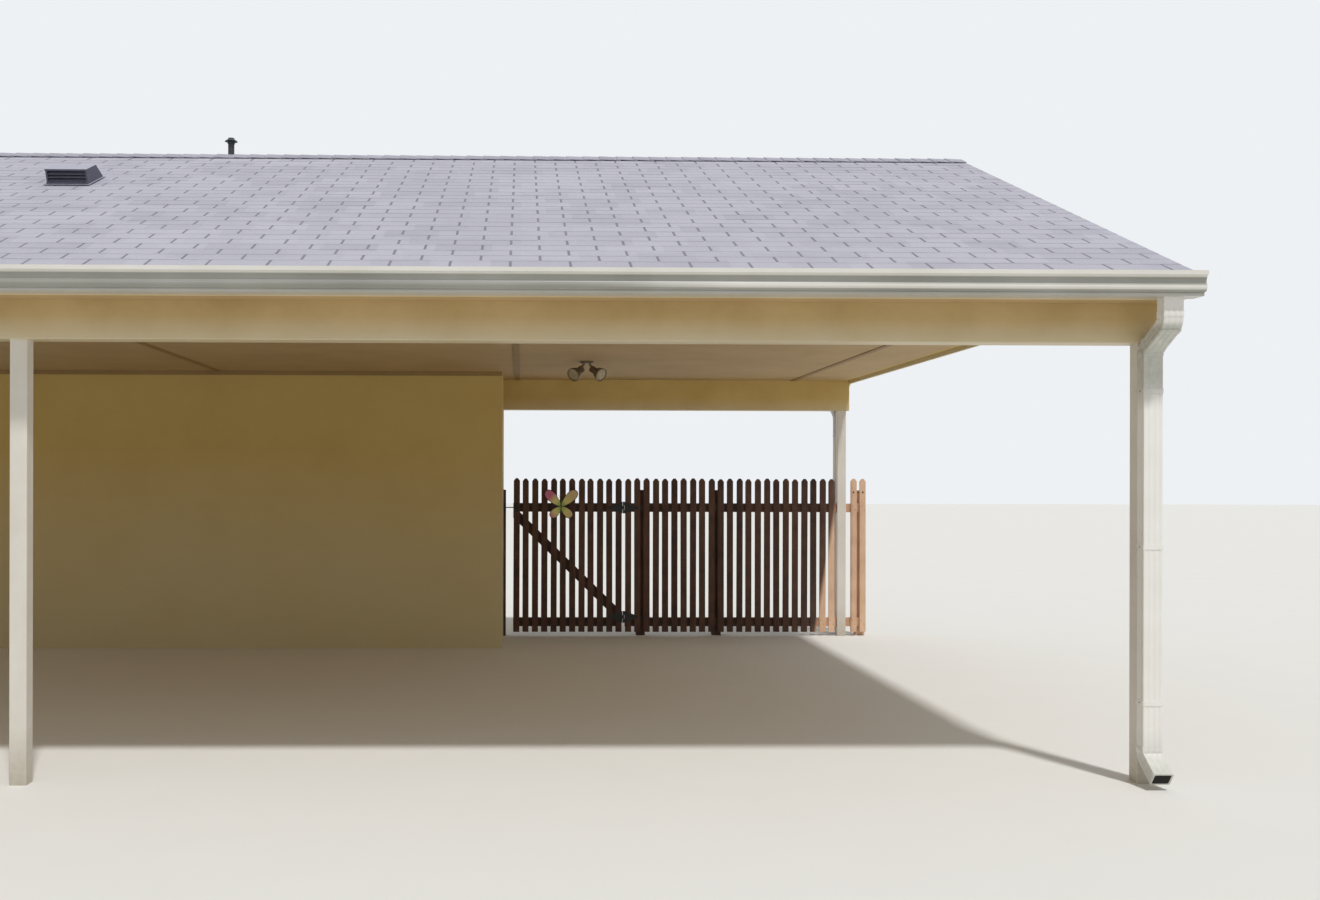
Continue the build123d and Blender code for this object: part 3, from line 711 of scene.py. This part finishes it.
def fluted(half_width, half_depth, grow):
    """Outline of the pipe: rounded corners and shallow flutes on all four faces."""
    quarter = []
    w, d, r, flute = half_width + grow, half_depth + grow, 0.006, 0.002
    for u, v in ((0.008, d - flute), (0.012, d), (0.020, d), (0.024, d - flute),
                 (0.034, d - flute), (0.038, d), (w - r, d)):
        quarter.append((u, v))
    quarter += [(w - r * 0.3, d - r * 0.3), (w, d - r)]
    for u, v in ((w, 0.018), (w - flute, 0.014), (w - flute, 0.006), (w, 0.002)):
        quarter.append((u, v))
    top = quarter + [(u, -v) for u, v in quarter[::-1]]
    return top + [(-u, v) for u, v in top[::-1]]


def ring_at(station, x, side, outline):
    """The outline of the pipe, square to its path at a station."""
    point, direction = station
    across = Vector((-direction.y, direction.x))
    ring = []
    for u, v in outline:
        spot = point + across * v
        ring.append((x + u, side * spot.x, spot.y))
    return ring


def downspout(name, x, side, node_name):
    """One downspout with its collars, straps and open shoe."""
    route = rounded_route([
        (outlet_y, gutter_bottom), (outlet_y, gutter_bottom - outlet_drop),
        (pipe_y, beam_underside - 0.034), (pipe_y, shoe_bend), (pipe_y + shoe_reach, shoe_lift),
    ], bend_radius, bend_steps)
    shape = bmesh.new()
    outline = fluted(pipe_half_width, pipe_half_depth, 0.0)
    bore = eased(pipe_half_width - 0.008, pipe_half_depth - 0.007, 0.005)
    mouth = route[-1]
    loft(shape, [ring_at(s, x, side, outline) for s in route])
    lip = eased(pipe_half_width + 0.0015, pipe_half_depth + 0.0015, 0.006)
    back = (mouth[0] - mouth[1] * 0.012, mouth[1])
    front = (mouth[0] + mouth[1] * 0.002, mouth[1])
    loft(shape, [ring_at(back, x, side, lip), ring_at(front, x, side, lip),
                 ring_at(front, x, side, bore), ring_at(back, x, side, bore),
                 ring_at(back, x, side, lip)], capped=False)
    # A near-black plug across the shoe's mouth: painted shade for the inside of the pipe
    loft(shape, [ring_at(front, x, side, bore), ring_at(back, x, side, bore)], 1)
    # Collars at the ends of the upper bends, and where the shoe slips over the pipe
    for joint in (1, 8, 10, 16, 18):
        point, direction = route[joint]
        rings = []
        for shift, grow in ((-0.03, 0.0008), (-0.028, 0.002), (0.003, 0.002), (0.005, 0.0008)):
            rings.append(ring_at((point + direction * shift, direction), x, side,
                                 fluted(pipe_half_width, pipe_half_depth, grow)))
        loft(shape, rings)
    for level in strap_levels:
        band = [(x + u, side * (pipe_y + v), level) for u, v in
                eased(pipe_half_width + 0.002, pipe_half_depth + 0.002, 0.004)]
        loft(shape, [band, [(u, v, w + strap_height) for u, v, w in band]])
        post_face = post_row + post_half
        for hand in (-1, 1):
            block(shape, [x + hand * ear for ear in strap_ear],
                  (side * post_face, side * (post_face + strap_sheet)),
                  (level, level + strap_height))
            screw(shape, (x + hand * strap_ear[1], side * pipe_y, level + strap_height / 2),
                  (hand, 0, 0), 0.004, 2)
    deliver(name, shape, [pipe_enamel, mouth_shade, nail_zinc],
            replaces=[node_name])


for hand, side_name in ((-1, "left"), (1, "right")):
    for side, row_name in ((-1, "front"), (1, "rear")):
        downspout(f"{row_name}_{side_name}_pipe", hand * bay_width, side,
                  f"{row_name}_downspout_{side_name}")

# Fence and gates: dog-eared pickets with worn arrises, two rails, and nails in pairs
ear_drop = 0.028
ear_cut = 0.02
nail_pair = ((0.017, 0.02), (0.046, -0.02))
stub_nails = ((0.03, picket_front), (0.08, picket_back), (0.125, picket_front))
brace_half = 0.0445


def picket(shape, left, lean):
    """One picket, slightly bowed, with the two slanting cuts at its top."""
    middle = left + picket_width / 2 + draw.uniform(-0.0015, 0.0015)
    half = picket_width / 2 - draw.uniform(0.0, 0.001)
    crown = picket_top - draw.uniform(0.0, 0.008)
    bow = draw.uniform(-0.0012, 0.0012)
    depth = (picket_back - picket_front) / 2
    centre = (picket_back + picket_front) / 2
    rings = []
    for z, width in ((picket_bottom, half), (0.55, half), (1.05, half),
                     (crown - ear_drop, half), (crown, half - ear_cut)):
        part = (z - picket_bottom) / (picket_top - picket_bottom)
        shift = lean * part
        away = bow * math.sin(math.pi * part)
        rings.append([(middle + shift + u, centre + away + v, z)
                      for u, v in eased(width, depth - 0.0003, 0.002)])
    loft(shape, rings)


def rail(shape, start, end, middle):
    """One rail behind the pickets, with eased edges."""
    centre = (picket_back + rail_back) / 2
    rings = []
    for x in (start, end):
        rings.append([(x, centre + u, middle + v)
                      for u, v in eased((rail_back - picket_back) / 2, rail_height / 2, 0.003)])
    loft(shape, rings, 1)


def panel(shape, start, end, first, count):
    """A row of pickets on two rails, with a pair of nails at each crossing."""
    for middle in rail_middles:
        rail(shape, start, end, middle)
    for i in range(count):
        left = first + i * picket_pitch
        picket(shape, left, draw.uniform(-0.004, 0.004))
        for middle in rail_middles:
            for u, v in nail_pair:
                screw(shape, (left + u, picket_front + 0.0004, middle + v), (0, -1, 0), 0.004, 2)


def mirrored(shape):
    """Turns a right-hand shape into its left-hand twin."""
    bmesh.ops.scale(shape, vec=(-1, 1, 1), verts=shape.verts)
    return shape


fence_finishes = [upright_stain, lengthwise_stain, nail_zinc]
fence_count = int((fence_end - fence_start - picket_width) // picket_pitch) + 1
gate_count = round((gate_end - gate_start - picket_width) / picket_pitch) + 1
for side_name in ("right", "left"):
    fence = bmesh.new()
    panel(fence, fence_start, fence_end, fence_start, fence_count)
    panel(fence, bay_width + post_half, stub_end, stub_start, 2)
    for x, y in stub_nails:
        screw(fence, (stub_start + x, y, fence_post_top - 0.02), (0, -1, 0), 0.009, 2)
    gate = bmesh.new()
    panel(gate, gate_start, gate_end, gate_start, gate_count)
    low = rail_middles[0] + rail_height / 2
    high = rail_middles[1] - rail_height / 2
    centre = (picket_back + rail_back) / 2
    half_depth = (rail_back - picket_back) / 2
    length = math.hypot(gate_end - gate_start, high - low)
    cut = brace_half * (high - low) / length
    foot_run = brace_half * length / (high - low)
    rings = []
    for y in (centre - half_depth, centre + half_depth):
        rings.append([
            (gate_end - foot_run, y, low), (gate_end, y, low),
            (gate_end, y, low + cut * 2), (gate_start + foot_run, y, high),
            (gate_start, y, high), (gate_start, y, high - cut * 2),
        ])
    loft(gate, rings, 1)
    if side_name == "left":
        mirrored(fence)
        mirrored(gate)
    deliver(f"picket_fence_{side_name}", fence, fence_finishes,
            replaces=[f"fence_{side_name}"])
    deliver(f"picket_gate_{side_name}", gate, fence_finishes,
            body=f"gate_{side_name}", replaces=[f"gate_leaf_{side_name}"])

# Gable siding: lapped boards between the rake boards
rake_board_height = 0.152
lap = 0.115
siding_butt = 0.013
siding_head = 0.004
foot_board = 0.02


def siding_reach(z):
    """Half the width of the gable below the rake boards at a height z."""
    return fascia_out - (z + rake_board_height - fascia_top) * 12 / 5


for hand, side_name in ((-1, "left"), (1, "right")):
    siding = bmesh.new()
    level = ceiling_underside
    while siding_reach(level) > 0.06:
        top = min(level + lap, ceiling_underside + siding_reach(ceiling_underside) * 5 / 12)
        butt = half_length + siding_butt + draw.uniform(-0.0005, 0.0005)
        low_reach, top_reach = siding_reach(level), max(siding_reach(top), 0.001)
        rings = []
        for foot, head in ((half_length, half_length), (butt, half_length + siding_head)):
            rings.append([
                (hand * foot, -low_reach, level), (hand * foot, low_reach, level),
                (hand * head, top_reach, top), (hand * head, -top_reach, top),
            ])
        loft(siding, rings)
        level = top
    block(siding, (hand * half_length, hand * (half_length + foot_board)),
          (-siding_reach(ceiling_underside), siding_reach(ceiling_underside)),
          (ceiling_underside - 0.03, ceiling_underside + 0.035), 1)
    deliver(f"gable_siding_{side_name}", siding, [wall_paint, trim_paint])

# Doors at the back of the storage block: pressed panels, knob, bolt, hinges and sill
door_place = 1.205
door_half = 0.4065
door_height = 2.032
door_face = 3.21
door_thick = 0.044
door_play = 0.003
sill_height = 0.012
panel_levels = ((0.2, 0.72), (0.86, 1.5), (1.62, 1.9))
panel_place = 0.175
panel_half = 0.125
knob_level = 0.96
bolt_level = 1.1
doors = bmesh.new()
for hand in (-1, 1):
    middle = hand * door_place
    block(doors, (middle - door_half + door_play, middle + door_half - door_play),
          (door_face - door_thick, door_face), (sill_height, door_height - door_play))
    for column in (-1, 1):
        for low, high in panel_levels:
            centre_x = middle + column * panel_place
            centre_z = (low + high) / 2
            rings = []
            for out, inset in ((0.0, 0.0), (0.006, 0.006), (0.006, 0.016), (0.001, 0.026),
                               (0.001, 0.034), (0.006, 0.056)):
                rings.append([
                    (centre_x + u, door_face + out, centre_z + v)
                    for u, v in eased(panel_half - inset, (high - low) / 2 - inset, 0.002)
                ])
            loft(doors, rings)
    knob_x = hand * (door_place + door_half - 0.07)
    knob = [(0.031, 0), (0.031, 0.004), (0.012, 0.007), (0.012, 0.022), (0.022, 0.028),
            (0.027, 0.038), (0.025, 0.048), (0.014, 0.055)]
    turned(doors, knob, facing((knob_x, door_face, knob_level), (0, 1, 0)), 24, 1)
    bolt = [(0.028, 0), (0.028, 0.008), (0.022, 0.014), (0.008, 0.015)]
    turned(doors, bolt, facing((knob_x, door_face, bolt_level), (0, 1, 0)), 24, 1)
    hinge_x = middle - hand * (door_half - 0.001)
    for level in (0.2, 0.97, 1.75):
        barrel = [(0.005, 0), (0.0065, 0.002), (0.0065, 0.098), (0.005, 0.1)]
        turned(doors, barrel, Matrix.Translation((hinge_x, door_face + 0.006, level)), 12, 1)
    block(doors, (middle - door_half, middle + door_half), (door_face - 0.06, door_face + 0.03),
          (0.0, sill_height), 1)
deliver("panelled_doors", doors, [trim_paint, nickel], replaces=["storage_doors"])

# Flood lights: a round canopy under the ceiling and two lamp holders on knuckles
lights = bmesh.new()
light_y = 1.09
light_from_wall = 0.745
for hand in (-1, 1):
    light_x = hand * (storage_half_length + light_from_wall)
    canopy = [(0.058, 0), (0.058, 0.012), (0.05, 0.02), (0.02, 0.022)]
    turned(lights, canopy, facing((light_x, light_y, ceiling_underside), (0, 0, -1)), 32)
    for side in (-1, 1):
        head = Vector((light_x + side * 0.065, light_y, ceiling_underside - 0.08))
        root = Vector((light_x + side * 0.02, light_y, ceiling_underside - 0.018))
        arm = head - root
        aim = Vector((side * 0.9, -1, -0.7)).normalized()
        turned(lights, [(0.009, 0), (0.009, arm.length)], facing(root, arm), 14)
        turned(lights, [(0.013, 0), (0.014, 0.008), (0.014, 0.018), (0.013, 0.026)],
               facing(head - arm.normalized() * 0.013 - aim * 0.02, arm), 16)
        holder = [(0.02, -0.04), (0.03, -0.036)]
        for i in range(5):
            holder += [(0.03, -0.03 + i * 0.009), (0.027, -0.028 + i * 0.009),
                       (0.027, -0.024 + i * 0.009), (0.03, -0.022 + i * 0.009)]
        holder += [(0.034, 0.02), (0.048, 0.05), (0.058, 0.076), (0.06, 0.09), (0.06, 0.095),
                   (0.055, 0.095), (0.053, 0.086)]
        turned(lights, holder, facing(head, aim), 32)
        lens = [(0.054, 0.08), (0.053, 0.09), (0.046, 0.094), (0.03, 0.0975), (0.012, 0.0985)]
        turned(lights, lens, facing(head, aim), 32, 1)
deliver("lamp_holders", lights, [lamp_plastic, lamp_glass],
        replaces=["flood_lights"])

# Batten in the corner between the storage block's front and the ceiling, in dark paint: a dark
# strip that stands for the painted shade in that corner
batten_thick = 0.019
batten_height = 0.038
batten = bmesh.new()
block(batten, (-storage_half_length, storage_half_length),
      (storage_front - batten_thick, storage_front),
      (ceiling_underside - batten_height, ceiling_underside - 0.0005))
deliver("wall_top_shade_batten", batten, [strip_paint])

# Roof vent: louvres in its mouth, a hem round the hood and nails in the flange
vent = bmesh.new()
vent_x = -0.438
vent_up = (roof_edge - 1.13) / slope_run
vent_level = deck_drop * slope_run


def on_vent(x, along, lift):
    """A point from the middle of the vent's foot: across, up the slope and square to it."""
    return on_slope(-1, vent_x + x, vent_up + along, lift + vent_level)


louvre = ((-0.1605, -0.007), (-0.1585, -0.0085), (-0.14, 0.005), (-0.142, 0.0065))
louvre_half = 0.125
for i in range(3):
    lift = 0.026 + i * 0.023
    loft(vent, [[on_vent(x, up, lift + rise) for up, rise in louvre]
                for x in (-louvre_half, louvre_half)], 1)
for x in (-0.11, 0.0, 0.11):
    screw(vent, on_vent(x, -0.18, 0.003), (0, -slope_rise, slope_run), 0.005, 1)
hem_half = 0.139
for low, high in ((0.088, 0.1005), (0.002, 0.013)):
    hem = ((-0.1655, low), (-0.161, low), (-0.161, high), (-0.1655, high))
    loft(vent, [[on_vent(x, up, lift) for up, lift in hem] for x in (-hem_half, hem_half)])
deliver("roof_vent_louvres", vent, [vent_sheet, louvre_sheet])

# Vent pipe: a collar over the flashing, and a band under the pointed cap
pipe_back = 0.21
pipe_spot = Vector((0.307, pipe_back, 0))
collar_z = roof_top(pipe_back)
band_z = 4.224
boot = bmesh.new()
collar = [(0.046, -0.012), (0.046, 0.004), (0.032, 0.03), (0.027, 0.05), (0.0245, 0.052)]
turned(boot, collar, Matrix.Translation(pipe_spot + Vector((0, 0, collar_z))), 28)
band = [(0.0245, 0), (0.028, 0.001), (0.028, 0.016), (0.0245, 0.017)]
turned(boot, band, Matrix.Translation(pipe_spot + Vector((0, 0, band_z))), 28)
deliver("vent_pipe_collar", boot, [pipe_lead])

# Bolt heads in the strap hinges and plates of the gates
plate_face = picket_front - 0.003
for side_name, hand in (("right", 1), ("left", -1)):
    for body, pick in ((f"gate_{side_name}", -1), ("root", 1)):
        bolts = bmesh.new()
        for level in hinge_levels:
            for reach, spread in ((0.028, 0.034), (0.07, 0.018), (0.118, 0.0)):
                for updown in ((-1, 1) if spread else (0,)):
                    point = (hand * (hinge_place + pick * reach), plate_face,
                             level + updown * spread)
                    screw(bolts, point, (0, -1, 0), 0.006)
        plate_x = gate_start + picket_width / 2 if pick < 0 else storage_half_length + 0.0125
        for updown in (-1, 1):
            screw(bolts, (hand * plate_x, plate_face, rail_middles[1] + updown * 0.033),
                  (0, -1, 0), 0.005)
        name = f"gate_bolts_{side_name}" if pick < 0 else f"fence_bolts_{side_name}"
        deliver(name, bolts, [black_iron], body=body)

# Butterfly of enamelled sheet on the pickets of the right gate, its wings folded forward
butterfly = bmesh.new()
wing_fold = 0.16
wing_bays = 14


def wing(side, lean, length, breadth, inset, back, thick, finish):
    """One wing: a petal with its root at the body, its axis raised by lean radians."""
    rings = []
    for depth in (back, back + thick):
        ring = []
        for i in range(2 * wing_bays):
            turn = math.pi * i / wing_bays
            reach = length * (0.5 - 0.5 * math.cos(turn)) + inset * math.cos(turn)
            swell = math.sin(turn) * (breadth - inset) * (0.4 + 0.6 * reach / length)
            out = reach * math.cos(lean) - swell * math.sin(lean)
            up = reach * math.sin(lean) + swell * math.cos(lean)
            ring.append((ornament_spot[0] + side * out,
                         ornament_spot[1] - depth - wing_fold * max(out, 0),
                         ornament_spot[2] + up))
        rings.append(ring)
    loft(butterfly, rings, finish)


for side, enamel in ((-1, 0), (1, 1)):
    for lean, length, breadth in ((0.78, 0.225, 0.068), (-0.8, 0.155, 0.058)):
        wing(side, lean, length, breadth, 0.0, -0.002, 0.002, 2)
        wing(side, lean, length, breadth, 0.007, 0.0, 0.0012, enamel)
    feeler = []
    for i in range(7):
        part = i / 6
        spot = Vector((ornament_spot[0] + side * (0.003 + 0.03 * part ** 1.6), ornament_spot[1],
                       ornament_spot[2] + 0.05 + 0.07 * part))
        feeler.append([spot + Vector((0.0013 * u, 0.0013 * v, 0))
                       for u, v in ((1, 0), (0, 1), (-1, 0), (0, -1))])
    loft(butterfly, feeler, 3)
trunk = [(0.002, -0.075), (0.006, -0.06), (0.007, -0.03), (0.0065, 0.0), (0.009, 0.015),
         (0.009, 0.032), (0.006, 0.04), (0.0075, 0.048), (0.006, 0.056), (0.002, 0.06)]
turned(butterfly, trunk, Matrix.Translation(ornament_spot), 16, 3)
block(butterfly, (ornament_spot[0] - 0.008, ornament_spot[0] + 0.008),
      (ornament_spot[1], picket_front + 0.0005), (ornament_spot[2] - 0.01, ornament_spot[2] + 0.01),
      2)
deliver("butterfly_ornament", butterfly, [left_wing, right_wing, wing_rim, moss_enamel],
        body="gate_right")

# Floor, background and light
floor_half = 80
floor_mesh = bpy.data.meshes.new("floor")
floor_mesh.from_pydata([(x * floor_half, y * floor_half, 0)
                        for x, y in ((-1, -1), (1, -1), (1, 1), (-1, 1))], [], [(0, 1, 2, 3)])
floor = bpy.data.objects.new("floor", floor_mesh)
bpy.context.scene.collection.objects.link(floor)
floor_mesh.materials.append(hard_surface("pale_floor", "E9E8E4", "E6E5E0", 0.5, 0.0001, 0.9))

world = bpy.data.worlds.new("pale_sky")
bpy.context.scene.world = world
world.use_nodes = True
sky = world.node_tree
sky.nodes.clear()
ray = add_node(sky, "ShaderNodeLightPath", {}, {})
seen = add_node(sky, "ShaderNodeMath", {"operation": "MAXIMUM"}, {
    0: ray.outputs["Is Camera Ray"], 1: ray.outputs["Is Glossy Ray"],
})
seen = add_node(sky, "ShaderNodeMath", {"operation": "MAXIMUM"}, {
    0: seen.outputs[0], 1: ray.outputs["Is Transmission Ray"],
})
soft = add_node(sky, "ShaderNodeBackground", {}, {"Color": (1, 1, 1, 1), "Strength": 0.42})
backdrop = add_node(sky, "ShaderNodeBackground", {}, {"Color": srgb("EEF1F4"), "Strength": 1.0})
blend = add_node(sky, "ShaderNodeMixShader", {}, {
    0: seen.outputs[0], 1: soft.outputs[0], 2: backdrop.outputs[0],
})
add_node(sky, "ShaderNodeOutputWorld", {}, {"Surface": blend.outputs[0]})

key_lamp = bpy.data.lights.new("key", "SUN")
key_lamp.energy = 2.0
key_lamp.angle = math.radians(4)
key = bpy.data.objects.new("key", key_lamp)
key.rotation_euler = Vector((0.186, -0.5, 1.0)).to_track_quat("Z", "Y").to_euler()
bpy.context.scene.collection.objects.link(key)

# Camera at the place worked out from the photograph
lens = bpy.data.cameras.new("camera")
lens.sensor_width = 36
lens.lens = 34.48
lens.shift_x = 0.0885
lens.shift_y = 0.0236
lens.clip_end = 200
camera = bpy.data.objects.new("camera", lens)
camera.location = (2.605, -9.7756, 1.578)
turn = Matrix.Rotation(math.radians(-0.93), 3, "Z") @ Matrix.Rotation(math.radians(90), 3, "X")
camera.rotation_euler = (turn @ Matrix.Rotation(math.radians(0.122), 3, "Z")).to_euler()
bpy.context.scene.collection.objects.link(camera)
bpy.context.scene.camera = camera
bpy.context.scene.view_settings.view_transform = "Standard"
